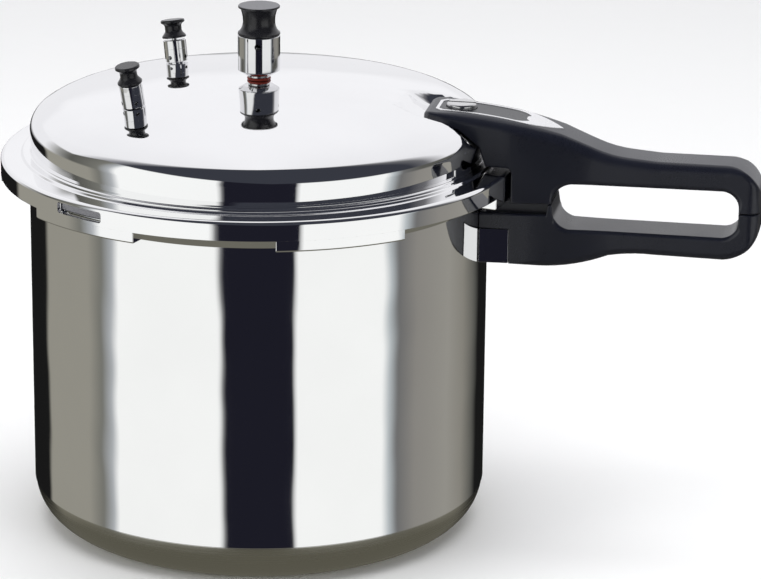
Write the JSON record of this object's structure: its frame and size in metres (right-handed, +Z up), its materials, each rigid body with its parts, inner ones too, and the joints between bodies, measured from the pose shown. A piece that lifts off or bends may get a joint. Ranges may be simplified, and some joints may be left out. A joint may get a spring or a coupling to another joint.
{
  "type": "pressure canner",
  "caption": "Tall round aluminium pressure canner with a bayonet-lug domed lid, a long two-part black side handle with a finger opening, a weighted regulator and two small spring valves.",
  "frame": {"origin": "centre of the pot's flat base, where it stands on the stove", "axes": "+Z up the pot's axis, +X out along the handle"},
  "size_m": [0.3973, 0.2698, 0.2764],
  "materials": {
    "polished_aluminium": "mirror polished, satin round the base",
    "black_handle": "fine-grained satin moulding",
    "chrome_fitting": "polished plate",
    "black_knob": "semi-gloss moulding",
    "steel_fastener": "turned and lightly brushed",
    "rubber_seal": "matte",
    "red_silicone": "matte silicone",
    "badge_silver": "satin metallised",
    "badge_dark": "satin",
    "rack_aluminium": "plain rolled sheet"
  },
  "bodies": {
    "pot": {"pot_body": "polished_aluminium", "pot_handle_bracket": "steel_fastener", "bracket_rivets": "steel_fastener", "flame_guard": "chrome_fitting", "pot_handle": "black_handle", "pot_handle_bolt": "steel_fastener"},
    "lid": {"lid_shell": "polished_aluminium", "gasket": "rubber_seal", "lid_handle": "black_handle", "badge_frame": "badge_silver", "badge_insert": "badge_dark", "handle_stud": "steel_fastener", "handle_nut": "steel_fastener", "vent_pipe": "steel_fastener", "vent_seal_ring": "red_silicone", "vent_pipe_nut": "steel_fastener", "safety_valve_body_a": "chrome_fitting", "safety_valve_bonnet_a": "chrome_fitting", "safety_valve_seal_a": "rubber_seal", "safety_valve_nut_a": "steel_fastener", "safety_valve_spring_a": "steel_fastener", "safety_valve_body_b": "chrome_fitting", "safety_valve_bonnet_b": "chrome_fitting", "safety_valve_seal_b": "rubber_seal", "safety_valve_nut_b": "steel_fastener", "safety_valve_spring_b": "steel_fastener"},
    "regulator": {"regulator_weight": "chrome_fitting", "regulator_needle": "steel_fastener", "regulator_knob": "black_knob"},
    "safety_valve_a": {"safety_valve_plunger_a": "steel_fastener", "safety_valve_knob_a": "black_knob"},
    "safety_valve_b": {"safety_valve_plunger_b": "steel_fastener", "safety_valve_knob_b": "black_knob"},
    "rack": {"canning_rack": "rack_aluminium"}
  },
  "joints": [
    {"name": "lid_turn", "type": "hinge", "parent": "pot", "child": "lid", "pos_m": [0, 0, 0.19], "axis": [0, 0, 1], "range_deg": [0, 30]},
    {"name": "regulator_lift", "type": "slide", "parent": "lid", "child": "regulator", "axis": [0, 0, 1], "range_m": [0, 0.03]},
    {"name": "safety_valve_a_lift", "type": "slide", "parent": "lid", "child": "safety_valve_a", "axis": [-0.1311, -0.1139, 0.9848], "range_m": [0, 0.003], "stiffness_N_per_m": 600, "deforming": ["safety_valve_spring_a"]},
    {"name": "safety_valve_b_lift", "type": "slide", "parent": "lid", "child": "safety_valve_b", "axis": [-0.1311, 0.1139, 0.9848], "range_m": [0, 0.003], "stiffness_N_per_m": 600, "deforming": ["safety_valve_spring_b"]},
    {"name": "rack_lift", "type": "slide", "parent": "pot", "child": "rack", "axis": [0, 0, 1], "range_m": [0, 0.14]}
  ]
}
